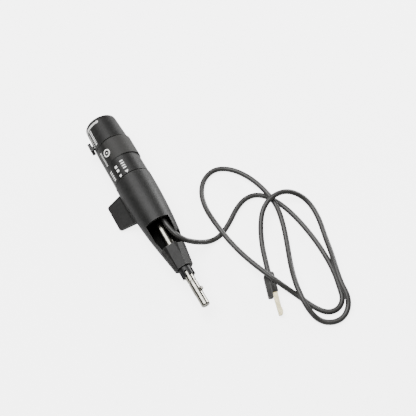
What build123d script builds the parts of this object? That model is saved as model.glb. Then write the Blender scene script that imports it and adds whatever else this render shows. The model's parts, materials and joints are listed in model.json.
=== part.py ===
"""Multifunction steering column lever: turn signal, wiper, washer and cruise control.

The lever lies on a table.  Its axis is level and runs along Y, with the button end at +Y
and the steel shaft at -Y.  The round housing and the edge of the washer paddle touch the
table at z = 0.  The origin is under the middle of the lever, its lead and connector left out.

Distances "a" are measured along the lever from the face of the button end, in mm.
Angles are measured round the lever, from +X towards +Z.
"""

import os
from math import asin, cos, degrees, pi, radians, sin, tan

from build123d import *

os.makedirs("parts", exist_ok=True)

# ---- driving dimensions: the whole lever ----
shaft_r = 3.5  # steel shaft, 7 mm bar
shaft_tip = 184.0  # far end of the shaft
button_crown = 1.6  # how far the end button stands out of its barrel
housing_r = 15.4  # the thickest round of the lever, which it rests on
paddle_reach = 30.5  # lever axis to the edge of the paddle
paddle_t = 3.2
seam = 0.4  # open line between neighbouring covers
run_fit = 0.1  # radial clearance of a plastic cover turning on the inner tube
shaft_fit = 0.08  # radial clearance round the shaft
snug = 0.05  # radial clearance of pieces that are pushed together

# ---- stations along the lever ----
barrel_end = 24.2
band_start = barrel_end + seam
band_end = 62.0
housing_start = band_end + seam
nose_end = 150.0
collar_tip = 157.6
tube_end = 92.0

# ---- radii ----
rim_r = 13.6
barrel_r = 14.7
barrel_bore = 12.2
band_r = 15.0
band_bore = 12.7
tube_r = 9.5
tube_bore = 8.0
nose_r = 7.5
collar_r = 5.3

# ---- directions round the lever, in degrees ----
paddle_dip = degrees(asin((housing_r - paddle_t / 2) / (paddle_reach - paddle_t / 2)))
paddle_angle = 180 + paddle_dip
window_angle = 103
slider_angle = 188
key_angle = 48
lead_angle = 52
arm_angle = 300  # drive arm of the hub, at rest

# ---- what the band and the housing can turn ----
wiper_forward = 27
wiper_back = 81
washer_turn = 8

# ---- where the lever stands ----
pad_rise = 0.9
pad_lean = 40
paddle_out = (paddle_reach - paddle_t / 2) * cos(radians(paddle_dip)) + paddle_t / 2
band_out = band_r + pad_rise * cos(radians(pad_lean))
axis_x = (paddle_out - band_out) / 2
end_y = (shaft_tip - button_crown) / 2

lever = Plane(origin=(axis_x, end_y, housing_r), x_dir=(1, 0, 0), z_dir=(0, -1, 0))
lever_axis = Axis(lever.origin, (0, -1, 0))


def spoke(angle, a=0.0):
    """Plane across the lever at a, with its local X pointing outwards at an angle."""
    out = (cos(radians(angle)), 0, sin(radians(angle)))
    return Plane(origin=lever.origin + Vector(0, -a, 0), x_dir=out, z_dir=(0, -1, 0))


def facing(angle, a, r):
    """Plane that looks outwards at an angle, at a and at r; local X runs along the lever."""
    out = Vector(cos(radians(angle)), 0, sin(radians(angle)))
    return Plane(origin=lever.origin + Vector(0, -a, 0) + out * r, x_dir=(0, -1, 0), z_dir=out)


def blade(angle, side=0.0):
    """Plane through the axis: local X runs along the lever, local Y outwards at an angle."""
    turn = radians(angle)
    across = (-sin(turn), 0, cos(turn))
    return Plane(origin=lever.origin, x_dir=(0, -1, 0), z_dir=across).offset(side)


def outward(angle):
    """Direction that points outwards at an angle, for sorting faces and edges."""
    return Axis((0, 0, 0), facing(angle, 0, 0).z_dir)


def circles_at(part, a, r):
    """The round edges of a turned piece at a and of radius r."""
    rounds = part.edges().filter_by(GeomType.CIRCLE).filter_by(lambda e: abs(e.radius - r) < 0.01)
    return rounds.filter_by(lambda e: abs(end_y - a - e.arc_center.Y) < 0.01)


def finish(part, name):
    """Name a finished piece and write it."""
    part.label = name
    export_step(part, f"parts/{name}.step")


# ================= the fixed core of the lever =================

# end barrel: the hollow cover that holds the button and the cruise slider
slider_a = 16.6  # middle of the slider at rest
slider_travel = 7.0
stem_len, stem_w = 4.0, 3.0
front_wall = 2.2
button_r = 8.7
button_gap = 0.3
with BuildPart() as end_barrel:
    with BuildSketch(blade(90)):
        with BuildLine():
            Polyline(
                (0, button_r + button_gap), (0, rim_r - 0.1), (3, rim_r + 0.2),
                (barrel_end, barrel_r), (barrel_end, barrel_bore), (front_wall, barrel_bore),
                (front_wall, button_r + button_gap), close=True,
            )
        make_face()
    revolve(axis=lever_axis)
    fillet(circles_at(end_barrel, 0, rim_r - 0.1), 1.1)
    chamfer(circles_at(end_barrel, barrel_end, barrel_r), 0.3)
    with BuildSketch(facing(slider_angle, slider_a - slider_travel / 2, barrel_bore - 2)):
        SlotOverall(stem_len + slider_travel + 0.8, stem_w + 0.6)
    extrude(amount=8, mode=Mode.SUBTRACT)
finish(end_barrel.part, "end_barrel")

# inner tube: carries the band and the housing, with a flange inside the end barrel
flange_start = 22.0
hub_slot_start, hub_slot_end = 40.4, 45.6
clip_start = 88.0
ring_t = 1.2
ring_groove = 0.6
groove_end = clip_start + ring_t + 0.1
key_start, key_end, key_w = 84.4, 87.2, 3.0
stop_angle = 280
slot_margin = 18
arm_w = 4.0
with BuildPart() as inner_tube:
    with BuildSketch(blade(90)):
        with BuildLine():
            Polyline(
                (flange_start, tube_bore), (flange_start, barrel_bore - snug),
                (barrel_end, barrel_bore - snug), (barrel_end, tube_r), (clip_start, tube_r),
                (clip_start, tube_r - ring_groove), (groove_end, tube_r - ring_groove),
                (groove_end, tube_r), (tube_end, tube_r), (tube_end, tube_bore), close=True,
            )
        make_face()
    revolve(axis=lever_axis)
    with BuildSketch(spoke(arm_angle - wiper_back - slot_margin, hub_slot_start)):
        with BuildLine():
            sweep_angle = wiper_back + wiper_forward + 2 * slot_margin
            rim = CenterArc((0, 0), tube_r + 1, 0, sweep_angle)
            Polyline(rim @ 1, (0, 0), rim @ 0)
        make_face()
    extrude(amount=hub_slot_end - hub_slot_start, mode=Mode.SUBTRACT)
    with BuildSketch(facing(stop_angle, (key_start + key_end) / 2, tube_r - 0.6)):
        Rectangle(key_end - key_start, key_w)
    extrude(amount=1.9)
finish(inner_tube.part, "inner_tube")

# switch base: round board that closes the space behind the button, notched for the slider
base_a, base_t = 12.0, 2.0
with BuildPart() as switch_base:
    with BuildSketch(lever.offset(base_a)):
        Circle(barrel_bore - snug)
    extrude(amount=base_t)
    with BuildSketch(spoke(slider_angle, base_a)):
        with Locations((11, 0)):
            Rectangle(7.2, 10.6)
    extrude(amount=base_t, mode=Mode.SUBTRACT)
    with BuildSketch(lever.offset(base_a - 1.5)):
        Circle(2.1)
        Circle(1.0, mode=Mode.SUBTRACT)
    extrude(amount=1.5)
finish(switch_base.part, "switch_base")

# slider board: the flat board under the slider, along the barrel
board_r, board_t, board_a = 7.6, 1.2, 13.9
board_len, board_w = 14.6, 9.6
with BuildPart() as slider_board:
    with BuildSketch(facing(slider_angle, board_a, board_r)):
        Rectangle(board_len, board_w)
    extrude(amount=board_t)
    chamfer(slider_board.edges().filter_by(outward(slider_angle)), 0.6)
finish(slider_board.part, "slider_board")

# three fixed contacts on the slider board
contact_t = 0.3
contact_side = 1.7
with BuildPart() as board_contacts:
    with BuildSketch(facing(slider_angle, board_a, board_r + board_t)):
        with Locations((-3.7, contact_side), (3.7, contact_side)):
            Rectangle(6.0, 1.5)
        with Locations((0, -contact_side)):
            Rectangle(board_len - 1.2, 1.5)
    extrude(amount=contact_t)
finish(board_contacts.part, "board_contacts")

# button contacts: two brass pads on the switch base
with BuildPart() as button_contacts:
    for turn in (slider_angle - 90, slider_angle + 90):
        with BuildSketch(spoke(turn, base_a - contact_t)):
            with Locations((5.4, 0)):
                Rectangle(2.0, 4.4)
        extrude(amount=contact_t)
finish(button_contacts.part, "button_contacts")

# four insulated wires from the switch base to the lead
wire_r, wire_pitch, wire_orbit = 0.5, 1.05, 6.45
lead_start = 93.0
with BuildPart() as core_wires:
    for step in (-1.5, -0.5, 0.5, 1.5):
        with BuildSketch(spoke(lead_angle, base_a + base_t)):
            with Locations((wire_orbit, step * wire_pitch)):
                Circle(wire_r)
        extrude(amount=lead_start - base_a - base_t)
finish(core_wires.part, "core_wires")

# lead clip: end cap of the inner tube, which guides the shaft and grips the lead
lead_r = 2.1
clip_end = 96.5
with BuildPart() as lead_clip:
    with BuildSketch(blade(90)):
        with BuildLine():
            Polyline(
                (tube_end - 3, shaft_r + shaft_fit), (tube_end - 3, tube_bore - snug),
                (tube_end, tube_bore - snug), (tube_end, tube_r), (clip_end - 0.6, tube_r),
                (clip_end, tube_r - 0.6), (clip_end, shaft_r + shaft_fit), close=True,
            )
        make_face()
    revolve(axis=lever_axis)
    with BuildSketch(spoke(lead_angle, tube_end - 3)):
        with Locations((wire_orbit, 0)):
            Circle(lead_r)
    extrude(amount=clip_end - tube_end + 3, mode=Mode.SUBTRACT)
finish(lead_clip.part, "lead_clip")

# retaining ring: open spring ring in the groove of the inner tube, which keeps the housing on
with BuildPart() as retaining_ring:
    with BuildSketch(spoke(lead_angle + 180, clip_start + 0.05)):
        Circle(tube_r + 1.7)
        Circle(tube_r - ring_groove, mode=Mode.SUBTRACT)
        with Locations((tube_r + 1, 0)):
            Rectangle(6, 5, mode=Mode.SUBTRACT)
    extrude(amount=ring_t)
finish(retaining_ring.part, "retaining_ring")

# ================= end button =================

stem_r, stem_end = 4.2, 9.6
crown_under = 0.8  # underside of the crown
skirt_start, skirt_end = 2.6, 4.0  # ring that stops the button behind the barrel's front wall
with BuildPart() as set_button:
    with BuildSketch(blade(90)):
        with BuildLine():
            dish = (-button_crown + 0.5, 0), (-button_crown + 0.35, 3.5), (-button_crown, 6.8)
            crown = ThreePointArc(*dish)
            Polyline(
                crown @ 1, (-button_crown, button_r), (skirt_start, button_r),
                (skirt_start, button_r + 1.5), (skirt_end, button_r + 1.5),
                (skirt_end, button_r - 1.4), (crown_under, button_r - 1.4), (crown_under, stem_r),
                (stem_end, stem_r), (stem_end, stem_r - 1), (crown_under, stem_r - 1),
                (crown_under, 0), crown @ 0,
            )
        make_face()
    revolve(axis=lever_axis)
    fillet(circles_at(set_button, -button_crown, button_r), 0.9)
finish(set_button.part, "set_button")

# moving contact: brass washer on the button's stem
disc_r, disc_t = 6.6, 0.4
with BuildPart() as button_disc:
    with BuildSketch(lever.offset(stem_end - disc_t)):
        Circle(disc_r)
        Circle(stem_r, mode=Mode.SUBTRACT)
    extrude(amount=disc_t)
finish(button_disc.part, "button_disc")

# button spring: wire coil inside the stem, between the crown and the switch base
coil_wire_r, coil_r, coil_turns = 0.25, 2.6, 7
with BuildPart() as button_spring:
    coil_start = crown_under + coil_wire_r + snug
    coil_rise = base_a - coil_wire_r - snug - coil_start
    with BuildLine() as coil:
        Helix(
            coil_rise / coil_turns, coil_rise, coil_r,
            center=lever.offset(coil_start).origin, direction=lever.z_dir,
        )
    with BuildSketch(Plane(origin=coil.line @ 0, z_dir=coil.line % 0)):
        Circle(coil_wire_r)
    sweep()
finish(button_spring.part, "button_spring")

# ================= cruise slider =================

carriage_r, carriage_t = 10.4, 1.0
knob_r, knob_t = barrel_r + 0.25, 2.9
knob_len, knob_w = 10.4, 6.8
scoop_r, scoop_depth = 14.0, 0.7  # hollow along the knob, on either side of its cross ridge
with BuildPart() as cruise_slider:
    with BuildSketch(facing(slider_angle, slider_a, carriage_r)):
        Rectangle(8.4, 6.0)
    extrude(amount=carriage_t)
    with BuildSketch(facing(slider_angle, slider_a, carriage_r + carriage_t)):
        SlotOverall(stem_len, stem_w)
    extrude(amount=knob_r - carriage_r - carriage_t)
    with BuildSketch(facing(slider_angle, slider_a, knob_r)):
        RectangleRounded(knob_len, knob_w, 2.4)
    extrude(amount=knob_t)
    fillet(cruise_slider.faces().sort_by(outward(slider_angle))[-1].edges(), 0.7)
    with BuildSketch(blade(slider_angle, -knob_w)):
        with Locations((slider_a, knob_r + knob_t - scoop_depth + scoop_r)):
            Circle(scoop_r)
    extrude(amount=2 * knob_w, mode=Mode.SUBTRACT)
    with BuildSketch(facing(slider_angle, slider_a, knob_r + knob_t - 2 * scoop_depth)):
        Rectangle(1.0, knob_w - 1.4)
    extrude(amount=2 * scoop_depth)
finish(cruise_slider.part, "cruise_slider")

# slider contact: bowed bronze strip under the carriage
with BuildPart() as slider_contact:
    with BuildSketch(blade(slider_angle, -2.4)):
        with BuildLine():
            bow_top, bow_low = carriage_r - 0.02, board_r + board_t + contact_t + 0.1
            bow_from, bow_to = slider_a - 3.6, slider_a + 3.6
            bow_rim = bow_low + 0.35
            upper = ThreePointArc((bow_from, bow_rim), (slider_a, bow_top), (bow_to, bow_rim))
            lower = ThreePointArc((bow_from, bow_low), (slider_a, bow_top - 0.3), (bow_to, bow_low))
            Line(upper @ 0, lower @ 0)
            Line(upper @ 1, lower @ 1)
        make_face()
    extrude(amount=4.8)
finish(slider_contact.part, "slider_contact")

# ================= wiper band, turning with the shaft =================

pad_start, pad_end = band_start + 0.9, 44.2
web_t = 2.4
rib_h, rib_w = 1.5, 1.6
with BuildPart() as wiper_band:
    with BuildSketch(blade(90)):
        with BuildLine():
            Polyline(
                (band_start, tube_r + run_fit), (band_start, band_r - 0.15), (band_end, band_r),
                (band_end, tube_r + run_fit), (band_end - web_t, tube_r + run_fit),
                (band_end - web_t, band_bore), (band_start + web_t, band_bore),
                (band_start + web_t, tube_r + run_fit), close=True,
            )
        make_face()
    revolve(axis=lever_axis)
    chamfer(circles_at(wiper_band, band_start, band_r - 0.15), 0.4)
    chamfer(circles_at(wiper_band, band_end, band_r), 0.4)
    # the raised thumb pad is a round that stands off centre, so that it runs out into the band
    with BuildSketch(spoke(pad_lean, pad_start)):
        with Locations((pad_rise, 0)):
            Circle(band_r)
        Circle(band_r - 1, mode=Mode.SUBTRACT)
    extrude(amount=pad_end - pad_start)
    # two ribs inside hold the drive arm between them
    for side in (-1, 1):
        with BuildSketch(spoke(arm_angle, 39.5)):
            with Locations((band_bore - rib_h / 2 + 0.2, side * (arm_w / 2 + rib_w / 2 + snug))):
                Rectangle(rib_h + 0.4, rib_w)
        extrude(amount=8)
finish(wiper_band.part, "wiper_band")

# drive hub on the shaft, with the arm that goes out through the slot of the tube
hub_start, hub_end, hub_r = 38.4, 48.0, 5.5
hub_pin_r, hub_pin_a = 1.25, 46.8
arm_len = band_bore - 4.3
with BuildPart() as drive_hub:
    with BuildSketch(lever.offset(hub_start)):
        Circle(hub_r)
    extrude(amount=hub_end - hub_start)
    with BuildSketch(spoke(arm_angle, hub_slot_start + 0.6)):
        with Locations((4 + arm_len / 2, 0)):
            Rectangle(arm_len, arm_w)
    extrude(amount=hub_slot_end - hub_slot_start - 1.2)
    with BuildSketch(lever.offset(hub_start)):
        Circle(shaft_r)
    extrude(amount=hub_end - hub_start, mode=Mode.SUBTRACT)
    with BuildSketch(facing(arm_angle + 90, hub_pin_a, -8)):
        Circle(hub_pin_r)
    extrude(amount=16, mode=Mode.SUBTRACT)
finish(drive_hub.part, "drive_hub")

with BuildPart() as hub_pin:
    with BuildSketch(facing(arm_angle + 90, hub_pin_a, -hub_r)):
        Circle(hub_pin_r)
    extrude(amount=2 * hub_r)
    chamfer(hub_pin.edges().filter_by(GeomType.CIRCLE), 0.25)
finish(hub_pin.part, "hub_pin")

# steel shaft
shaft_start = 37.0
pilot_start, pilot_r = 173.0, 3.3  # the end beyond the key pin is turned a little smaller
groove_a, groove_w, groove_d = 162.8, 1.6, 0.55
groove_from, groove_to = groove_a - groove_w / 2, groove_a + groove_w / 2
key_a, key_r, key_out = 171.1, 1.5, 1.8
key_foot = -2.0  # where the key pin's hole ends inside the shaft, measured from its axis
with BuildPart() as steel_shaft:
    with BuildSketch(blade(90)):
        with BuildLine():
            Polyline(
                (shaft_start, 0), (shaft_start, shaft_r), (groove_from, shaft_r),
                (groove_from + 0.4, shaft_r - groove_d), (groove_to - 0.4, shaft_r - groove_d),
                (groove_to, shaft_r), (pilot_start, shaft_r), (pilot_start, pilot_r),
                (shaft_tip, pilot_r), (shaft_tip, 0.9), (shaft_tip - 0.8, 0), close=True,
            )
        make_face()
    revolve(axis=lever_axis)
    chamfer(circles_at(steel_shaft, shaft_start, shaft_r), 0.5)
    fillet(circles_at(steel_shaft, shaft_tip, pilot_r), 1.1)
    with BuildSketch(facing(arm_angle + 90, hub_pin_a, -8)):
        Circle(hub_pin_r)
    extrude(amount=16, mode=Mode.SUBTRACT)
    with BuildSketch(facing(key_angle, key_a, key_foot)):
        Circle(key_r)
    extrude(amount=8, mode=Mode.SUBTRACT)
finish(steel_shaft.part, "steel_shaft")

with BuildPart() as key_pin:
    with BuildSketch(facing(key_angle, key_a, key_foot)):
        Circle(key_r)
    extrude(amount=shaft_r + key_out - key_foot)
    fillet(key_pin.faces().sort_by(outward(key_angle))[-1].edges(), 0.4)
finish(key_pin.part, "key_pin")

# ================= housing with the washer paddle =================

cone_start = (120.0, 12.0)
rear_web = (housing_start + 1.8, housing_start + 4.2)
front_web = (key_start - 0.2, key_end + 0.2)
cavity_r = 12.8
web_bore = tube_r + run_fit
window_start, window_end, window_half = 108.3, 131.0, 9.7
window_lean = 0.7  # the window stands off towards its right wall
window_floor = 3.0  # height of the window's lower edge above the axis
notch_mid, notch_len, notch_drop = 126.6, 11.6, 3.8  # notch in the window's right wall
# paddle: flat plate with a round edge, blended into the housing, widening towards its root
with BuildPart() as paddle:
    with BuildSketch(spoke(paddle_angle, 65)) as paddle_section:
        Circle(cavity_r + 1.2)
        with Locations((paddle_reach - 10, 0)):
            Rectangle(20, paddle_t)
        fillet(paddle_section.vertices().sort_by(Axis.X)[-4:-2], 4.0)
        fillet(paddle_section.vertices().sort_by(Axis.X)[-2:], paddle_t / 2 - 0.001)
    extrude(amount=34)
    with BuildSketch(blade(paddle_angle, -8)) as planform:
        with BuildLine():
            Polyline(
                (65.6, cavity_r + 0.4), (65.6, 14.6), (67.4, paddle_reach + 0.6),
                (90.4, paddle_reach + 0.6), (94.6, 14.6), (94.6, cavity_r + 0.4), close=True,
            )
        make_face()
        fillet(planform.vertices().sort_by(Axis.Y)[-2:], 3.4)
    extrude(amount=16, mode=Mode.INTERSECT)

with BuildPart() as paddle_housing:
    with BuildSketch(blade(90)):
        with BuildLine():
            back = ThreePointArc((66.0, housing_r), (96.0, 14.35), cone_start)
            Polyline(
                back @ 1, (nose_end - 0.5, nose_r), (nose_end, nose_r - 0.5), (nose_end, collar_r),
                (142.8, collar_r), (142.0, 5.9), (120.0, 9.6), (104.0, 11.3),
                (front_web[1], cavity_r - 0.4), (front_web[1], web_bore), (front_web[0], web_bore),
                (front_web[0], cavity_r), (rear_web[1], cavity_r), (rear_web[1], web_bore),
                (rear_web[0], web_bore), (rear_web[0], cavity_r), (housing_start, cavity_r),
                (housing_start, housing_r - 0.4), (housing_start + 0.4, housing_r), back @ 0,
            )
        make_face()
    revolve(axis=lever_axis)
    add(paddle.part)
    # window over the shaft, and the notch in its right wall where the lead leaves
    with BuildSketch(facing(window_angle, (window_start + window_end) / 2, window_floor)):
        with Locations((0, window_lean)):
            Rectangle(window_end - window_start, 2 * window_half)
    extrude(amount=20, mode=Mode.SUBTRACT)
    with BuildSketch(facing(window_angle - 90, notch_mid, 5)):
        with Locations((0, (notch_drop - 10) / 2)):
            Rectangle(notch_len, notch_drop + 10)
    extrude(amount=12, mode=Mode.SUBTRACT)
    # flat faces on the nose: one below the window, and a shallower one on its right and underneath
    for turn, depth in ((0, 0), (-46, -0.35), (128, 0.3)):
        with BuildSketch(blade(window_angle + turn, -9)):
            with BuildLine():
                Polyline(
                    (window_end, 9.8 - depth), (nose_end + 1, 6.2 - depth), (nose_end + 1, 14),
                    (window_end, 14), close=True,
                )
            make_face()
        extrude(amount=18, mode=Mode.SUBTRACT)
    # two ridges along the left side of the nose
    for turn in (40, 62):
        with BuildSketch(blade(window_angle + turn, -0.6)):
            with BuildLine():
                Polyline(
                    (window_end + 1, 9.4), (window_end + 1, 10.6), (nose_end - 2, 8.15),
                    (nose_end - 2, 6.9), close=True,
                )
            make_face()
        extrude(amount=1.2)
    # room for the stop key of the tube in the front web
    with BuildSketch(spoke(stop_angle + washer_turn / 2, front_web[0])):
        with Locations((10.2, 0)):
            Rectangle(2.4, 5.8)
    extrude(amount=front_web[1] - front_web[0], mode=Mode.SUBTRACT)
finish(paddle_housing.part, "paddle_housing")

# nose collar: the castellated end that drives the washer switch
collar_start = 143.2
with BuildPart() as nose_collar:
    with BuildSketch(lever.offset(collar_start)):
        Circle(collar_r)
        Circle(shaft_r + shaft_fit, mode=Mode.SUBTRACT)
    extrude(amount=collar_tip - collar_start)
    with BuildSketch(lever.offset(collar_tip - 4.2)):
        with PolarLocations(collar_r, 6, start_angle=window_angle):
            Rectangle(5, 2.0)
    extrude(amount=4.2, mode=Mode.SUBTRACT)
finish(nose_collar.part, "nose_collar")

# return spring of the housing: wire wound round the inner tube between the two webs
with BuildPart() as return_spring:
    with BuildLine() as coil:
        Helix(
            2.6, 13.0, 11.0,
            center=lever.offset(rear_web[1] + 1.2).origin, direction=lever.z_dir,
        )
    with BuildSketch(Plane(origin=coil.line @ 0, z_dir=coil.line % 0)):
        Circle(0.45)
    sweep()
finish(return_spring.part, "return_spring")

# ================= lead and connector =================

# the lead's axis: out of the clip, through the window and over the housing's notch, then in
# loops on the table; it is lifted where it passes over itself and over the connector
exit_x = axis_x + wire_orbit * cos(radians(lead_angle))
exit_z = housing_r + wire_orbit * sin(radians(lead_angle))
floor = lead_r
boot_len, boot_w, boot_h = 20.5, 8.6, 6.4
route = [
    (exit_x, end_y - lead_start, exit_z), (exit_x, -10, exit_z), (9.9, -19.5, 20.6), (11.1, -28, 20.6),
    (13.3, -34.5, 19.8), (17, -39, 17.4), (22, -41.1, 13.4), (27.4, -42, 8.6), (33, -42.7, 4.5),
    (39.5, -43.1, floor), (47.5, -42, floor), (58, -36, floor),
    (70.5, -26.5, floor), (82, -22, floor), (93, -24.5, floor), (102, -36.5, floor), (107.5, -55, floor),
    (110, -79, floor), (109.5, -99, floor), (107.5, -113, floor), (104, -125, floor), (101, -134, floor),
    (93.5, -139, floor), (84.5, -137.5, floor), (78, -128.5, floor), (73, -116, floor), (68, -107.5, 5),
    (62.7, -98.7, 9), (56.8, -84, 9.1), (52, -67.5, 7.4), (48.8, -51, 6.7), (47, -33, 6.7), (47.6, -16, 3),
    (51, -1.5, floor), (59.5, 10, floor), (72.5, 14.5, floor), (84, 8.5, floor), (92, -5, 4.6),
    (96.6, -22, 6.8), (98.6, -41, 6.8), (95.5, -56.5, 3.6), (89, -73.5, floor), (81, -91, 3.6),
    (75, -106.5, 7.2), (72.2, -122.5, 7.2), (73.5, -134.5, 4), (77.3, -141.2, floor), (83, -145.3, floor),
    (89.8, -146.6, floor), (96, -144.9, 2.7), (101.5, -140.2, 4.4), (104.3, -133.2, 6.6),
    (105.2, -123.5, 7), (109, -110.8, 6.9), (114, -98, 4.4),
    (118.5, -83, floor), (123.5, -66.5, floor), (124, -50.5, 3.8), (117.5, -40, 7.6), (107.5, -35.2, 11),
    (95, -36, 11.2), (85, -41.5, 9), (77.5, -51.5, 5.6), (70.8, -65, 3), (66.2, -77.5, boot_h / 2),
    (62.6, -88.2, boot_h / 2),
]


def bend_radii(points):
    """For each corner of a route, the radius that uses 0.45 of its shorter run."""
    corners = [Vector(*p) for p in points]
    radii = []
    for before, here, after in zip(corners, corners[1:], corners[2:]):
        turn = radians((here - before).get_angle(after - here))
        radii.append(0.45 * min((here - before).length, (after - here).length) / tan(turn / 2))
    return radii


radii = bend_radii(route)
with BuildPart() as lead:
    with BuildLine() as lead_path:
        FilletPolyline(*route, radius=radii)
    with BuildSketch(Plane(origin=lead_path.line @ 0, z_dir=lead_path.line % 0)):
        Circle(lead_r)
    sweep()
finish(lead.part, "lead")
lead_length = sum(edge.length for edge in lead_path.edges())
print("smallest bends of the lead:", sorted(round(r, 1) for r in radii)[:8])
print("lead length:", round(lead_length, 1))
print("volume / section x length:", round(lead.part.volume / (pi * lead_r**2 * lead_length), 4))

# connector: moulded boot with a stepped end, and the flat terminal that stands out of it
last, before_last = Vector(*route[-1]), Vector(*route[-2])
heading = Vector(last.X - before_last.X, last.Y - before_last.Y, 0).normalized()
boot_plane = Plane(origin=(last.X, last.Y, 0), x_dir=heading, z_dir=(0, 0, 1))
across = Plane(origin=boot_plane.origin, x_dir=boot_plane.y_dir, z_dir=heading)
step_a, arm_edge = boot_len - 3.9, -0.7  # step in the boot's end, and inner edge of its long arm
with BuildPart() as connector_boot:
    # a ridge along the top parts a steep left face from a flatter right face
    with BuildSketch(across):
        with BuildLine():
            Polyline(
                (-boot_w / 2, 0), (boot_w / 2, 0), (boot_w / 2, 3.4), (-0.4, boot_h),
                (-1.4, boot_h), (-boot_w / 2, 4.2), close=True,
            )
        make_face()
    extrude(amount=boot_len)
    long_edges = connector_boot.edges().filter_by(Axis((0, 0, 0), heading))
    fillet(long_edges.filter_by(lambda e: e.center().Z > 1), 0.5)
    with BuildSketch(boot_plane):
        with BuildLine():
            Polyline(
                (0, -3.0), (2.6, -boot_w / 2), (boot_len - 0.6, -boot_w / 2),
                (boot_len, -boot_w / 2 + 0.6), (boot_len, arm_edge), (step_a, arm_edge),
                (step_a, boot_w / 2 - 0.8), (step_a - 1.2, boot_w / 2), (1.0, boot_w / 2),
                (0, 3.4), close=True,
            )
        make_face()
    extrude(amount=boot_h, mode=Mode.INTERSECT)
    with BuildSketch(boot_plane.offset(3.6)):
        with Locations((0.45 * boot_len, 1.5)):
            Circle(0.75)
    extrude(amount=4, mode=Mode.SUBTRACT)
finish(connector_boot.part, "connector_boot")

# flat strip with a small lug near its tip
blade_t = 1.6
blade_tip = step_a + 19.0
blade_side = arm_edge + 4.0
with BuildPart() as terminal_blade:
    with BuildSketch(boot_plane.offset(boot_h / 2 - blade_t / 2)):
        with BuildLine():
            Polyline(
                (step_a, arm_edge + 0.1), (blade_tip, arm_edge + 0.9), (blade_tip, blade_side - 1.2),
                (blade_tip - 0.8, blade_side), (blade_tip - 3.4, blade_side + 0.7),
                (blade_tip - 6, blade_side + 0.4), (blade_tip - 6.2, blade_side),
                (step_a, blade_side), close=True,
            )
        make_face()
    extrude(amount=blade_t)
finish(terminal_blade.part, "terminal_blade")
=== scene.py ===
"""Looks of the steering column lever: finishes, printed marks, the free lead, floor, lights and camera.

Everything is in metres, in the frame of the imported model.  Distances "a" are measured along the
lever from the face of its button end, and angles round its axis, from +X towards +Z.
"""

import json
from math import cos, hypot, pi, radians, sin

import bmesh
import bpy
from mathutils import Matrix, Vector


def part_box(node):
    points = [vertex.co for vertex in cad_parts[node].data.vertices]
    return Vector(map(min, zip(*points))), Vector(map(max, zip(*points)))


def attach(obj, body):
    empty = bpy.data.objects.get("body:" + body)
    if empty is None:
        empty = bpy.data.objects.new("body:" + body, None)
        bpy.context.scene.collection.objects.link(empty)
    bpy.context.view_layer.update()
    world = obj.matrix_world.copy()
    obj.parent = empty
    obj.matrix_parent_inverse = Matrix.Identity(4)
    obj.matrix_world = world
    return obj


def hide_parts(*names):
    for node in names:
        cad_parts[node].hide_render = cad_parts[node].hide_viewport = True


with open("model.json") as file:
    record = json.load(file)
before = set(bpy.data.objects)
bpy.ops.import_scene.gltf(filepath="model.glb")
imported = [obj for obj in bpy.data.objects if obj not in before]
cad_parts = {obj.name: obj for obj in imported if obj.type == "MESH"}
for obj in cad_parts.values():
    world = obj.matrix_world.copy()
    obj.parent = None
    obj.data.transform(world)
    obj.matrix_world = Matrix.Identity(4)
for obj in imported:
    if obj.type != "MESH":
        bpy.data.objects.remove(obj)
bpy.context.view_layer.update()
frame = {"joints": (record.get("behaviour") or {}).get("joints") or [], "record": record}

mm = 0.001

# ---- the lever's axis and stations, from the frame ----
turning = next(joint for joint in frame["joints"] if joint["name"] == "wiper_turn")
axis_x, axis_z = turning["pos_m"][0], turning["pos_m"][2]
end_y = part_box("end_barrel")[1][1]
barrel_end = end_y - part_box("end_barrel")[0][1]
band_start = end_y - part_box("wiper_band")[1][1]
band_end = end_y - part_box("wiper_band")[0][1]
band_r = 15.0 * mm
barrel_rim_r, barrel_r = 13.8 * mm, 14.7 * mm
rim_width = 3.0 * mm
pad_start, pad_end = 25.5 * mm, 44.2 * mm
pad_rise, pad_lean = 0.9 * mm, radians(40)
slider_angle, slider_a, ridge_top = radians(188), 16.6 * mm, 17.85 * mm

# ---- camera and lights ----
camera_target = Vector((50.5, -14.5, 0)) * mm
camera_distance = 569.6 * mm
camera_azimuth, camera_elevation = radians(-29.04), radians(61)
camera_lens, sensor_width = 60.58, 36.0
surround_strength = 0.16
table_glow = 4.0  # seen by the camera only, so that the table reads as white


def place_camera():
    """Camera on a sphere round its target, level, looking down at the table."""
    out = Vector((
        sin(camera_azimuth) * cos(camera_elevation),
        -cos(camera_azimuth) * cos(camera_elevation),
        sin(camera_elevation),
    ))
    data = bpy.data.cameras.new("table_camera")
    data.lens = camera_lens
    data.sensor_width = sensor_width
    data.clip_start = 0.01
    camera = bpy.data.objects.new("table_camera", data)
    camera.location = camera_target + out * camera_distance
    camera.rotation_euler = (-out).to_track_quat("-Z", "Y").to_euler()
    bpy.context.scene.collection.objects.link(camera)
    bpy.context.scene.camera = camera


def add_softbox(name, spot, aim, size, watts):
    """Square area light at a spot, turned towards a point."""
    data = bpy.data.lights.new(name, "AREA")
    data.size = size
    data.energy = watts
    lamp = bpy.data.objects.new(name, data)
    lamp.location = spot
    lamp.rotation_euler = (Vector(aim) - Vector(spot)).to_track_quat("-Z", "Y").to_euler()
    bpy.context.scene.collection.objects.link(lamp)


def light_the_table():
    """Dim white surroundings, a large softbox overhead and a bright one beyond the thumb pad."""
    world = bpy.data.worlds.new("studio")
    world.use_nodes = True
    world.node_tree.nodes["Background"].inputs["Color"].default_value = (1, 1, 1, 1)
    world.node_tree.nodes["Background"].inputs["Strength"].default_value = surround_strength
    bpy.context.scene.world = world
    add_softbox("overhead", (-0.2, 0.35, 1.2), camera_target, 1.1, 30.0)
    add_softbox("side", (0.9, 0.30, 0.22), (0, 0, 0.01), 0.4, 9.0)


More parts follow.
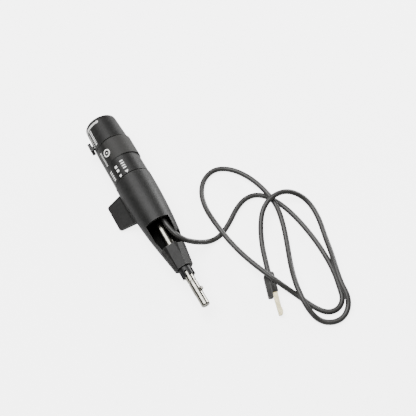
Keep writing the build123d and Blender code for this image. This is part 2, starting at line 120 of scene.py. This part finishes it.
def lay_floor():
    """Large pale table top under the lever."""
    mesh = bpy.data.meshes.new("table")
    half = 4.0  # half of the table's side
    corners = [(-half, -half, 0), (half, -half, 0), (half, half, 0), (-half, half, 0)]
    mesh.from_pydata(corners, [], [(0, 1, 2, 3)])
    floor = bpy.data.objects.new("table", mesh)
    bpy.context.scene.collection.objects.link(floor)
    pale = bpy.data.materials.new("pale_table")
    pale.use_nodes = True
    shader = pale.node_tree.nodes["Principled BSDF"]
    shader.inputs["Base Color"].default_value = (0.93, 0.93, 0.93, 1)
    shader.inputs["Roughness"].default_value = 0.7
    shader.inputs["Emission Color"].default_value = (1, 1, 1, 1)
    seen = add(pale.node_tree, "ShaderNodeLightPath").outputs["Is Camera Ray"]
    glow = work_out(pale.node_tree, "MULTIPLY", seen, table_glow)
    pale.node_tree.links.new(glow, shader.inputs["Emission Strength"])
    mesh.materials.append(pale)


# ================= node helpers =================


def add(tree, kind, inputs=None, **settings):
    """New node with its settings; each input is given a value, or a socket to be linked from."""
    node = tree.nodes.new(kind)
    for name, value in settings.items():
        setattr(node, name, value)
    for name, value in (inputs or {}).items():
        if isinstance(value, bpy.types.NodeSocket):
            tree.links.new(value, node.inputs[name])
        else:
            node.inputs[name].default_value = value
    return node


def work_out(tree, operation, *values):
    """Result of a Math node on numbers and sockets."""
    return add(tree, "ShaderNodeMath", dict(enumerate(values)), operation=operation).outputs[0]


def new_group(name, inputs, outputs):
    """Empty shader group with named sockets, and its input and output nodes."""
    group = bpy.data.node_groups.new(name, "ShaderNodeTree")
    for title, value in inputs.items():
        socket = group.interface.new_socket(title, in_out="INPUT", socket_type="NodeSocketFloat")
        socket.default_value = value
    for title in outputs:
        group.interface.new_socket(title, in_out="OUTPUT", socket_type="NodeSocketFloat")
    return group, group.nodes.new("NodeGroupInput"), group.nodes.new("NodeGroupOutput")


def use_group(tree, group, **values):
    """A group placed in a material, with its inputs' values."""
    node = tree.nodes.new("ShaderNodeGroup")
    node.node_tree = group
    for name, value in values.items():
        node.inputs[name.replace("_", " ")].default_value = value
    return node


# ================= shared effects =================


def build_grain():
    """Fine pebbled grain of a spark-eroded mould, with slight unevenness over centimetres."""
    sizes = {"Grain Size": 0.0005, "Unevenness": 0.25}
    group, given, result = new_group("mould grain", sizes, ["Height", "Tone"])
    place = add(group, "ShaderNodeTexCoord").outputs["Object"]
    per_metre = work_out(group, "DIVIDE", 1.0, given.outputs["Grain Size"])
    pebbles = add(
        group, "ShaderNodeTexVoronoi", {"Vector": place, "Scale": per_metre}, feature="SMOOTH_F1",
    )
    dust = add(
        group, "ShaderNodeTexNoise",
        {"Vector": place, "Scale": per_metre, "Detail": 4.0, "Roughness": 0.6},
    )
    height = work_out(group, "ADD", pebbles.outputs["Distance"], dust.outputs["Fac"])
    waves = add(group, "ShaderNodeTexNoise", {"Vector": place, "Scale": 70.0, "Detail": 3.0})
    uneven = given.outputs["Unevenness"]
    tone = work_out(group, "MULTIPLY_ADD", waves.outputs["Fac"], uneven, dust.outputs["Fac"])
    group.links.new(height, result.inputs["Height"])
    group.links.new(tone, result.inputs["Tone"])
    return group


def build_edge_wear_and_painted_highlight():
    """Mask of the rounded-over outer edges, broken up where handling rubs them. The paler colour it brings
    is partly wear and partly a painted highlight along the rounded edges.
    """
    group, given, result = new_group("edge wear and painted highlight", {"Width": 0.0006, "Patch Size": 0.004}, ["Mask"])
    soft = add(group, "ShaderNodeBevel", {"Radius": given.outputs["Width"]}, samples=6)
    true = add(group, "ShaderNodeNewGeometry").outputs["Normal"]
    facing = add(group, "ShaderNodeVectorMath", {0: soft.outputs[0], 1: true}, operation="DOT_PRODUCT")
    edge = add(
        group, "ShaderNodeMapRange",
        {"Value": facing.outputs["Value"], "From Min": 0.995, "From Max": 0.86,
         "To Min": 0.0, "To Max": 1.0},
    )
    place = add(group, "ShaderNodeTexCoord").outputs["Object"]
    per_metre = work_out(group, "DIVIDE", 1.0, given.outputs["Patch Size"])
    patches = add(
        group, "ShaderNodeTexNoise",
        {"Vector": place, "Scale": per_metre, "Detail": 5.0, "Roughness": 0.7},
    )
    broken = add(
        group, "ShaderNodeMapRange",
        {"Value": patches.outputs["Fac"], "From Min": 0.35, "From Max": 0.65,
         "To Min": 0.25, "To Max": 1.0},
    )
    mask = work_out(group, "MULTIPLY", edge.outputs[0], broken.outputs[0])
    group.links.new(mask, result.inputs["Mask"])
    return group


def build_handling():
    """Mask of faint smears and dust left by handling."""
    group, given, result = new_group("handling marks", {"Smear Size": 0.008, "Cover": 0.5}, ["Mask"])
    place = add(group, "ShaderNodeTexCoord").outputs["Object"]
    per_metre = work_out(group, "DIVIDE", 1.0, given.outputs["Smear Size"])
    smears = add(
        group, "ShaderNodeTexNoise",
        {"Vector": place, "Scale": per_metre, "Detail": 6.0, "Roughness": 0.62, "Distortion": 1.4},
    )
    low = work_out(group, "SUBTRACT", 1.0, given.outputs["Cover"])
    mask = add(
        group, "ShaderNodeMapRange",
        {"Value": smears.outputs["Fac"], "From Min": low, "From Max": 0.9},
    )
    group.links.new(mask.outputs[0], result.inputs["Mask"])
    return group


def build_drawn_lines():
    """Fine lines of a bar ground round its axis, and longer scratches along it."""
    sizes = {"Line Size": 0.00012, "Scratch Size": 0.0009}
    group, given, result = new_group("ground bar", sizes, ["Height", "Mask"])
    place = add(group, "ShaderNodeTexCoord").outputs["Object"]
    rings = add(group, "ShaderNodeMapping", {"Vector": place, "Scale": (0.05, 1.0, 0.05)})
    rings_per_metre = work_out(group, "DIVIDE", 1.0, given.outputs["Line Size"])
    ground = add(
        group, "ShaderNodeTexNoise",
        {"Vector": rings.outputs[0], "Scale": rings_per_metre, "Detail": 2.0},
    )
    along = add(group, "ShaderNodeMapping", {"Vector": place, "Scale": (1.0, 0.04, 1.0)})
    runs_per_metre = work_out(group, "DIVIDE", 1.0, given.outputs["Scratch Size"])
    scratches = add(
        group, "ShaderNodeTexNoise",
        {"Vector": along.outputs[0], "Scale": runs_per_metre, "Detail": 5.0, "Roughness": 0.75},
    )
    mask = add(
        group, "ShaderNodeMapRange",
        {"Value": scratches.outputs["Fac"], "From Min": 0.55, "From Max": 0.7},
    )
    group.links.new(ground.outputs["Fac"], result.inputs["Height"])
    group.links.new(mask.outputs[0], result.inputs["Mask"])
    return group


def build_thumb_pad():
    """Mask of the thumb pad on the band, between two stations and two angles, where it gets a painted
    reflection and a duller finish.
    """
    sizes = {"Axis X": axis_x, "Axis Z": axis_z, "From Y": end_y - pad_end, "To Y": end_y - pad_start}
    angles = {"Low Angle": radians(-42), "High Angle": radians(127)}
    group, given, result = new_group("thumb pad", sizes | angles, ["Mask"])
    place = add(group, "ShaderNodeSeparateXYZ", {0: add(group, "ShaderNodeTexCoord").outputs["Object"]})
    across = work_out(group, "SUBTRACT", place.outputs["X"], given.outputs["Axis X"])
    above = work_out(group, "SUBTRACT", place.outputs["Z"], given.outputs["Axis Z"])
    angle = work_out(group, "ARCTAN2", above, across)

    def band(value, low, high, soft):
        """Part of the mask that is 1 between two values, with soft ends."""
        rise = work_out(group, "SUBTRACT", value, given.outputs[low])
        fall = work_out(group, "SUBTRACT", given.outputs[high], value)
        near = work_out(group, "MINIMUM", rise, fall)
        ends = {"Value": near, "From Min": 0.0, "From Max": soft}
        return add(group, "ShaderNodeMapRange", ends).outputs[0]

    along = band(place.outputs["Y"], "From Y", "To Y", 0.4 * mm)
    around = band(angle, "Low Angle", "High Angle", 0.12)
    group.links.new(work_out(group, "MULTIPLY", along, around), result.inputs["Mask"])
    return group


grain = build_grain()
edge_wear_and_painted_highlight = build_edge_wear_and_painted_highlight()
handling = build_handling()
ground_bar = build_drawn_lines()
thumb_pad = build_thumb_pad()


# ================= finishes =================


def start_material(name):
    """Material with only its shader, and the tree to build on."""
    material = bpy.data.materials.new(name)
    material.use_nodes = True
    return material, material.node_tree, material.node_tree.nodes["Principled BSDF"]


def mix_colour(tree, mask, plain, marked):
    """Colour that goes from plain to marked with a mask; plain may be a socket."""
    node = add(tree, "ShaderNodeMix", {"Factor": mask}, data_type="RGBA")
    for slot, colour in ((6, plain), (7, marked)):
        if isinstance(colour, bpy.types.NodeSocket):
            tree.links.new(colour, node.inputs[slot])
        else:
            node.inputs[slot].default_value = (*colour, 1)
    return node.outputs[2]


def mix_value(tree, mask, plain, marked):
    """Number that goes from plain to marked with a mask; plain may be a socket."""
    return add(tree, "ShaderNodeMix", {"Factor": mask, 2: plain, 3: marked}, data_type="FLOAT").outputs[0]


def add_share(tree, mask, share):
    """A mask taken at part of its strength."""
    return work_out(tree, "MULTIPLY", mask, share)


def stretch(tree, value, low, high):
    """A value spread so that low becomes 0 and high becomes 1."""
    return add(tree, "ShaderNodeMapRange", {"Value": value, "From Min": low, "From Max": high}).outputs[0]


def emboss(tree, shader, height, depth, strength):
    """Small relief on a material's surface."""
    bump = add(tree, "ShaderNodeBump", {"Height": height, "Distance": depth, "Strength": strength})
    tree.links.new(bump.outputs[0], shader.inputs["Normal"])


def moulded_plastic(
    name, colour, tone, rub_and_edge_highlight, roughness, grain_size, depth, smear=0.10, edge_width=0.5 * mm,
):
    """Moulded plastic: grain, uneven tone, faint smears, and paler edges that are partly rubbed and partly
    a painted highlight.
    """
    material, tree, shader = start_material(name)
    shader.inputs["Specular IOR Level"].default_value = 0.3
    skin = use_group(tree, grain, Grain_Size=grain_size)
    edges = use_group(tree, edge_wear_and_painted_highlight, Width=edge_width)
    smears = use_group(tree, handling, Cover=0.55)
    base = mix_colour(tree, stretch(tree, skin.outputs["Tone"], 0.35, 0.9), colour, tone)
    smeared = mix_colour(tree, add_share(tree, smears.outputs["Mask"], smear), base, rub_and_edge_highlight)
    # Paler edges: partly wear, partly a painted highlight along the rounded edges.
    worn = mix_colour(tree, add_share(tree, edges.outputs["Mask"], 0.8), smeared, rub_and_edge_highlight)
    tree.links.new(worn, shader.inputs["Base Color"])
    rough = mix_value(tree, smears.outputs["Mask"], roughness, roughness + 0.14)
    polished = mix_value(tree, edges.outputs["Mask"], rough, roughness - 0.12)
    tree.links.new(polished, shader.inputs["Roughness"])
    emboss(tree, shader, skin.outputs["Height"], depth, 0.6)
    return material, tree, shader


def band_plastic(name):
    """The band's plastic: as the grip's, with a finer, duller finish on the thumb pad, which is also made
    paler by a painted reflection.
    """
    material, tree, shader = moulded_plastic(
        name, (0.0060, 0.0059, 0.0056), (0.010, 0.0097, 0.0093), (0.04, 0.039, 0.037),
        0.44, 0.45 * mm, 0.03 * mm,
    )
    pad = use_group(tree, thumb_pad)
    below = shader.inputs["Base Color"].links[0].from_socket
    # Painted reflection: the thumb pad is made paler, standing in for the light its flat face reflects.
    pad_painted_reflection = (0.030, 0.0292, 0.0275)
    lighter = mix_colour(tree, add_share(tree, pad.outputs["Mask"], 0.8), below, pad_painted_reflection)
    tree.links.new(lighter, shader.inputs["Base Color"])
    rough = shader.inputs["Roughness"].links[0].from_socket
    duller = mix_value(tree, add_share(tree, pad.outputs["Mask"], 0.7), rough, 0.62)
    tree.links.new(duller, shader.inputs["Roughness"])
    return material


def bright_metal(name, colour, shade, roughness, line_size, depth):
    """Plated metal with ground lines, fine scratches and dull handled areas."""
    material, tree, shader = start_material(name)
    shader.inputs["Metallic"].default_value = 1.0
    lines = use_group(tree, ground_bar, Line_Size=line_size)
    smears = use_group(tree, handling, Smear_Size=0.005, Cover=0.6)
    dull = mix_colour(tree, smears.outputs["Mask"], colour, shade)
    scratched = mix_colour(tree, add_share(tree, lines.outputs["Mask"], 0.35), dull, shade)
    tree.links.new(scratched, shader.inputs["Base Color"])
    rough = mix_value(tree, smears.outputs["Mask"], roughness, roughness + 0.16)
    torn = mix_value(tree, lines.outputs["Mask"], rough, roughness + 0.22)
    tree.links.new(torn, shader.inputs["Roughness"])
    emboss(tree, shader, lines.outputs["Height"], depth, 0.4)
    return material


def soft_vinyl(name):
    """Sheath of the lead: dark grey, faintly rippled, with a dusty sheen."""
    material, tree, shader = start_material(name)
    skin = use_group(tree, grain, Grain_Size=0.9 * mm)
    smears = use_group(tree, handling, Smear_Size=0.012, Cover=0.6)
    tone = stretch(tree, skin.outputs["Tone"], 0.3, 0.9)
    base = mix_colour(tree, tone, (0.020, 0.0198, 0.0185), (0.036, 0.035, 0.033))
    dusty = mix_colour(tree, add_share(tree, smears.outputs["Mask"], 0.3), base, (0.07, 0.068, 0.065))
    tree.links.new(dusty, shader.inputs["Base Color"])
    tree.links.new(mix_value(tree, smears.outputs["Mask"], 0.40, 0.58), shader.inputs["Roughness"])
    emboss(tree, shader, skin.outputs["Height"], 0.05 * mm, 0.5)
    return material


def printed_ink(name):
    """White printed marks, thin in places, with a faint painted glow."""
    material, tree, shader = start_material(name)
    worn = use_group(tree, handling, Smear_Size=0.0012, Cover=0.62)
    fresh, faded = (0.86, 0.86, 0.84), (0.40, 0.40, 0.39)
    white = mix_colour(tree, add_share(tree, worn.outputs["Mask"], 0.35), fresh, faded)
    tree.links.new(white, shader.inputs["Base Color"])
    tree.links.new(mix_value(tree, worn.outputs["Mask"], 0.5, 0.7), shader.inputs["Roughness"])
    # Painted light: the ink glows faintly so that the print reads whiter than the lamps make it.
    shader.inputs["Emission Color"].default_value = (1, 1, 0.98, 1)
    shader.inputs["Emission Strength"].default_value = 0.35
    return material


def plastic(name, colour, tone, rub_and_edge_highlight, roughness=0.46, grain_size=0.5 * mm, depth=0.03 * mm, **more):
    """Moulded plastic, when only the material is wanted."""
    return moulded_plastic(name, colour, tone, rub_and_edge_highlight, roughness, grain_size, depth, **more)[0]


ink = printed_ink("white_print")
finishes = {
    # The grip's wide, pale edges are partly wear and partly a painted highlight along its rounded edges.
    "black_grip": plastic(
        "grip_black", (0.0060, 0.0059, 0.0056), (0.011, 0.0107, 0.0102), (0.10, 0.098, 0.093),
        edge_width=0.9 * mm,
    ),
    "black_switch": plastic(
        "switch_black", (0.005, 0.005, 0.005), (0.009, 0.009, 0.009), (0.035, 0.035, 0.035),
        roughness=0.38, grain_size=0.3 * mm, depth=0.012 * mm,
    ),
    "natural_nylon": plastic("nylon", (0.62, 0.58, 0.48), (0.70, 0.67, 0.58), (0.78, 0.75, 0.68)),
    "board": plastic("switch_board", (0.20, 0.11, 0.04), (0.27, 0.16, 0.07), (0.35, 0.24, 0.12)),
    "wire_insulation": plastic("wire_skin", (0.35, 0.03, 0.02), (0.45, 0.05, 0.03), (0.55, 0.12, 0.09)),
    "boot_plastic": plastic(
        "boot_black", (0.028, 0.028, 0.027), (0.048, 0.047, 0.045), (0.15, 0.147, 0.14),
        roughness=0.42, grain_size=0.35 * mm, depth=0.03 * mm, smear=0.2, edge_width=0.45 * mm,
    ),
    "contact_brass": bright_metal(
        "strip_brass", (0.78, 0.56, 0.25), (0.55, 0.38, 0.17), 0.26, 0.10 * mm, 0.01 * mm,
    ),
    "spring_steel": bright_metal(
        "drawn_wire", (0.42, 0.42, 0.43), (0.26, 0.26, 0.27), 0.34, 0.10 * mm, 0.01 * mm,
    ),
    "nickel_steel": bright_metal(
        "bright_nickel", (0.36, 0.35, 0.31), (0.15, 0.145, 0.125), 0.15, 0.12 * mm, 0.012 * mm,
    ),
    "lead_vinyl": soft_vinyl("lead_sheath"),
    "terminal_metal": bright_metal(
        "pale_plating", (0.62, 0.56, 0.36), (0.44, 0.38, 0.22), 0.30, 0.15 * mm, 0.02 * mm,
    ),
}
slots = {part["node"]: part["material_slot"] for part in frame["record"]["subparts"]}


def finish_cad_nodes():
    """Every CAD node gets the finish of its slot, and the band its own."""
    for node, slot in slots.items():
        material = band_plastic("band_black") if node == "wiper_band" else finishes[slot]
        mesh = bpy.data.objects[node].data
        for place in range(max(1, len(mesh.materials))):
            if place < len(mesh.materials):
                mesh.materials[place] = material
            else:
                mesh.materials.append(material)


# ================= the lead =================

lead_diameter = 4.2 * mm
floor_z, boot_z = 2.1, 3.2  # in mm: the lead's middle where it lies on the table, and at the boot
lead_route = [
    (9.622, -1.8, 20.483), (9.622, -10, 20.483), (9.9, -19.5, 20.6), (11.1, -28, 20.6), (13.3, -34.5, 19.8),
    (17, -39, 17.4), (22, -41.1, 13.4), (27.4, -42, 8.6), (33, -42.7, 4.5), (39.5, -43.1, floor_z),
    (47.5, -42, floor_z), (58, -36, floor_z), (70.5, -26.5, floor_z), (82, -22, floor_z),
    (93, -24.5, floor_z), (102, -36.5, floor_z), (107.5, -55, floor_z), (110, -79, floor_z),
    (109.5, -99, floor_z), (107.5, -113, floor_z), (104, -125, floor_z), (101, -134, floor_z),
    (93.5, -139, floor_z), (84.5, -137.5, floor_z), (78, -128.5, floor_z), (73, -116, floor_z),
    (68, -107.5, 5), (62.7, -98.7, 9), (56.8, -84, 9.1), (52, -67.5, 7.4), (48.8, -51, 6.7), (47, -33, 6.7),
    (47.6, -16, 3), (51, -1.5, floor_z), (59.5, 10, floor_z), (72.5, 14.5, floor_z), (84, 8.5, floor_z),
    (92, -5, 4.6), (96.6, -22, 6.8), (98.6, -41, 6.8), (95.5, -56.5, 3.6), (89, -73.5, floor_z),
    (81, -91, 3.6), (75, -106.5, 7.2), (72.2, -122.5, 7.2), (73.5, -134.5, 4), (77.3, -141.2, floor_z),
    (83, -145.3, floor_z), (89.8, -146.6, floor_z), (96, -144.9, 2.7), (101.5, -140.2, 4.4),
    (104.3, -133.2, 6.6), (105.2, -123.5, 7), (109, -110.8, 6.9), (114, -98, 4.4), (118.5, -83, floor_z),
    (123.5, -66.5, floor_z), (124, -50.5, 3.8), (117.5, -40, 7.6), (107.5, -35.2, 11), (95, -36, 11.2),
    (85, -41.5, 9), (77.5, -51.5, 5.6), (70.8, -65, 3), (66.2, -77.5, boot_z), (62.6, -88.2, boot_z),
]


def lay_lead():
    """The free lead as one smooth round line from the clip to the boot."""
    curve = bpy.data.curves.new("lead_line", "CURVE")
    curve.dimensions = "3D"
    spline = curve.splines.new("NURBS")
    spline.points.add(len(lead_route) - 1)
    for point, place in zip(spline.points, lead_route):
        point.co = (*(Vector(place) * mm), 1)
    spline.order_u = 3
    spline.use_endpoint_u = True
    spline.use_smooth = True
    curve.resolution_u = 10
    curve.bevel_depth = lead_diameter / 2
    curve.bevel_resolution = 6
    curve.use_fill_caps = True
    curve.materials.append(finishes["lead_vinyl"])
    lead = bpy.data.objects.new("lead_line", curve)
    bpy.context.scene.collection.objects.link(lead)
    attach(lead, "core")
    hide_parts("lead")


# ================= printed marks =================

print_lift, print_depth = 0.03 * mm, 0.05 * mm


def barrel_surface(a, turn=0.0):
    """Radius of the end barrel at a, the same all round."""
    return barrel_rim_r + (barrel_r - barrel_rim_r) * (a - rim_width) / (barrel_end - rim_width)


def band_surface(a, turn=0.0):
    """Radius of the band at a, or of its thumb pad where that stands out further."""
    plain = band_r - 0.15 * mm * (band_end - a) / (band_end - band_start)
    if not pad_start < a < pad_end:
        return plain
    off = turn - pad_lean
    return max(plain, pad_rise * cos(off) + (band_r**2 - (pad_rise * sin(off)) ** 2) ** 0.5)


def on_round(surface, angle, a, s):
    """Point on the print: a along the lever, and s along the round from a middle angle."""
    turn = radians(angle) + s / surface(a)
    r = surface(a, turn) + print_lift
    return Vector((axis_x + r * cos(turn), end_y - a, axis_z + r * sin(turn)))


def draw_stroke(mesh, surface, angle, line, widths):
    """Strip of ink along a line of (a, s) points in mm, with one width for each point."""
    rows = []
    for step, ((a, s), width) in enumerate(zip(line, widths)):
        (a0, s0), (a1, s1) = line[max(step - 1, 0)], line[min(step + 1, len(line) - 1)]
        length = hypot(a1 - a0, s1 - s0)
        side_a, side_s = -(s1 - s0) / length, (a1 - a0) / length
        row = []
        for share in (-0.5, -0.17, 0.17, 0.5):
            edge_a, edge_s = a + side_a * width * share, s + side_s * width * share
            row.append(mesh.verts.new(on_round(surface, angle, edge_a * mm, edge_s * mm)))
        rows.append(row)
    for low, high in zip(rows, rows[1:]):
        for left in range(3):
            mesh.faces.new((low[left], low[left + 1], high[left + 1], high[left]))


def straight(start, end, pieces=6):
    """Points along a straight stroke."""
    return [tuple(p + (q - p) * step / pieces for p, q in zip(start, end)) for step in range(pieces + 1)]


def arc(middle, radius, start, sweep, pieces=16):
    """Points along a round stroke, angles in degrees from the a direction."""
    turns = [radians(start + sweep * step / pieces) for step in range(pieces + 1)]
    return [(middle[0] + radius * cos(turn), middle[1] + radius * sin(turn)) for turn in turns]


def bar(a, height, width):
    """Short bar round the lever."""
    return [(straight((a, -height / 2), (a, height / 2)), [width] * 7)]


def ring(a, radius, width):
    """Round outline."""
    return [(arc((a, 0), radius, 0, 360), [width] * 17)]


def bar_row(a, count, pitch, height, width):
    """Evenly spaced bars, as on a scale."""
    return [stroke for step in range(count) for stroke in bar(a + step * pitch, height, width)]


def solid_triangle(a, size):
    """Triangle that points along the lever."""
    return [(straight((a, 0), (a + size, 0)), [size * 1.2 * (1 - step / 6) + 0.02 for step in range(7)])]


def solid_square(a, size):
    """Filled square."""
    return [(straight((a, 0), (a + size, 0)), [size] * 7)]


def print_marks(name, body, surface, groups):
    """One thin piece of ink for a body: groups of (angle, strokes)."""
    mesh = bmesh.new()
    for angle, strokes in groups:
        for line, widths in strokes:
            draw_stroke(mesh, surface, angle, line, widths)
    bmesh.ops.recalc_face_normals(mesh, faces=mesh.faces)
    for face in mesh.faces:
        middle = face.calc_center_median() - Vector((axis_x, 0, axis_z))
        if face.normal.dot(Vector((middle.x, 0, middle.z))) < 0:
            face.normal_flip()
    data = bpy.data.meshes.new(name)
    mesh.to_mesh(data)
    mesh.free()
    data.materials.append(ink)
    piece = bpy.data.objects.new(name, data)
    bpy.context.scene.collection.objects.link(piece)
    thickness = piece.modifiers.new("ink", "SOLIDIFY")
    thickness.thickness = print_depth
    thickness.offset = -1
    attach(piece, body)
    return piece


def print_band():
    """Plain bars and a pointer for each stage at the seam, and a ring with a row of ticks."""
    stages = [
        (101, bar_row(49.2, 4, 2.3, 2.8, 1.0) + solid_triangle(59.0, 2.5)),
        (125, solid_square(50.2, 2.2) + solid_square(54.0, 2.2) + solid_square(59.2, 1.9)),
        (152, bar_row(50.6, 5, 2.0, 2.6, 0.9)),
        (178, bar_row(51.6, 5, 2.0, 2.0, 0.8)),
    ]
    symbol = (128, ring(35.2, 2.9, width=1.0) + solid_square(34.6, 1.2))
    ticks = (151, bar_row(30.6, 11, 1.3, 2.0, 0.5))
    print_marks("band_print", "wiper", band_surface, stages + [symbol, ticks])


def print_barrel():
    """Two rows of plain bars beside the slider."""
    rows = [(147, bar_row(7.0, 8, 1.95, 2.5, 0.95)), (165, bar_row(7.6, 8, 1.8, 1.6, 0.7))]
    print_marks("barrel_print", "core", barrel_surface, rows)


def print_knob():
    """White line across the ridge in the middle of the slider's knob."""
    out = Vector((cos(slider_angle), 0, sin(slider_angle)))
    across = Vector((-sin(slider_angle), 0, cos(slider_angle)))
    top = Vector((axis_x, end_y - slider_a, axis_z)) + out * ridge_top
    mesh = bmesh.new()
    bmesh.ops.create_cube(mesh, size=1.0)
    for vertex in mesh.verts:
        share = vertex.co.copy()
        along = Vector((0, share.y * 0.7 * mm, 0))
        vertex.co = top + across * (share.x * 4.6 * mm) + along + out * (share.z * print_depth)
    bmesh.ops.recalc_face_normals(mesh, faces=mesh.faces)
    data = bpy.data.meshes.new("knob_print")
    mesh.to_mesh(data)
    mesh.free()
    data.materials.append(ink)
    piece = bpy.data.objects.new("knob_print", data)
    bpy.context.scene.collection.objects.link(piece)
    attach(piece, "slider")


def build_rim_marks():
    """Node tree: equal blocks of ink spaced along an arc round the lever."""
    tree = bpy.data.node_groups.new("rim marks", "GeometryNodeTree")
    sizes = {
        "Radius": ("NodeSocketFloat", 0.0137), "From Angle": ("NodeSocketFloat", radians(100)),
        "Sweep": ("NodeSocketFloat", radians(80)), "Count": ("NodeSocketInt", 9),
        "Mark Width": ("NodeSocketFloat", 0.0006), "Mark Length": ("NodeSocketFloat", 0.0018),
        "Station": ("NodeSocketVector", (0, 0, 0)), "Ink": ("NodeSocketMaterial", None),
    }
    for title, (kind, value) in sizes.items():
        socket = tree.interface.new_socket(title, in_out="INPUT", socket_type=kind)
        if value is not None:
            socket.default_value = value
    tree.interface.new_socket("Geometry", in_out="OUTPUT", socket_type="NodeSocketGeometry")
    given = tree.nodes.new("NodeGroupInput")
    rim = add(
        tree, "GeometryNodeCurveArc",
        {"Resolution": 96, "Radius": given.outputs["Radius"], "Start Angle": given.outputs["From Angle"],
         "Sweep Angle": given.outputs["Sweep"]},
    )
    spots = add(
        tree, "GeometryNodeCurveToPoints",
        {"Curve": rim.outputs["Curve"], "Count": given.outputs["Count"]},
    )
    size = add(
        tree, "ShaderNodeCombineXYZ",
        {"X": print_depth, "Y": given.outputs["Mark Length"], "Z": given.outputs["Mark Width"]},
    )
    block = add(tree, "GeometryNodeMeshCube", {"Size": size.outputs[0]})
    marks = add(
        tree, "GeometryNodeInstanceOnPoints",
        {"Points": spots.outputs["Points"], "Instance": block.outputs["Mesh"],
         "Rotation": spots.outputs["Rotation"]},
    )
    upright = add(
        tree, "GeometryNodeTransform",
        {"Geometry": marks.outputs["Instances"], "Translation": given.outputs["Station"],
         "Rotation": (pi / 2, 0, 0)},
    )
    plain = add(tree, "GeometryNodeRealizeInstances", {"Geometry": upright.outputs["Geometry"]})
    inked = add(
        tree, "GeometryNodeSetMaterial",
        {"Geometry": plain.outputs["Geometry"], "Material": given.outputs["Ink"]},
    )
    result = tree.nodes.new("NodeGroupOutput")
    tree.links.new(inked.outputs["Geometry"], result.inputs["Geometry"])
    return tree


def print_rim(tree, name, a, count, start, sweep, mark_width, mark_length):
    """One ring of rim marks, made by the tree and kept as a plain mesh."""
    maker = bpy.data.objects.new(name + "_maker", bpy.data.meshes.new(name + "_maker"))
    bpy.context.scene.collection.objects.link(maker)
    modifier = maker.modifiers.new("marks", "NODES")
    modifier.node_group = tree
    values = {
        "Radius": barrel_surface(a) + print_lift - print_depth / 2, "From Angle": radians(start),
        "Sweep": radians(sweep), "Count": count, "Mark Width": mark_width, "Mark Length": mark_length,
        "Station": (axis_x, end_y - a, axis_z), "Ink": ink,
    }
    for item in tree.interface.items_tree:
        if item.item_type == "SOCKET" and item.in_out == "INPUT":
            modifier[item.identifier] = values[item.name]
    bpy.context.view_layer.update()
    shape = maker.evaluated_get(bpy.context.evaluated_depsgraph_get())
    piece = bpy.data.objects.new(name, bpy.data.meshes.new_from_object(shape))
    bpy.context.scene.collection.objects.link(piece)
    bpy.data.objects.remove(maker)
    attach(piece, "core")


place_camera()
light_the_table()
lay_floor()
lay_lead()
finish_cad_nodes()
print_band()
print_barrel()
print_knob()
rim_marks = build_rim_marks()
print_rim(rim_marks, "rim_print_wide", 4.3 * mm, 11, 103, 52, 0.9 * mm, 2.0 * mm)
print_rim(rim_marks, "rim_print_narrow", 4.6 * mm, 3, 160, 12, 0.7 * mm, 1.4 * mm)
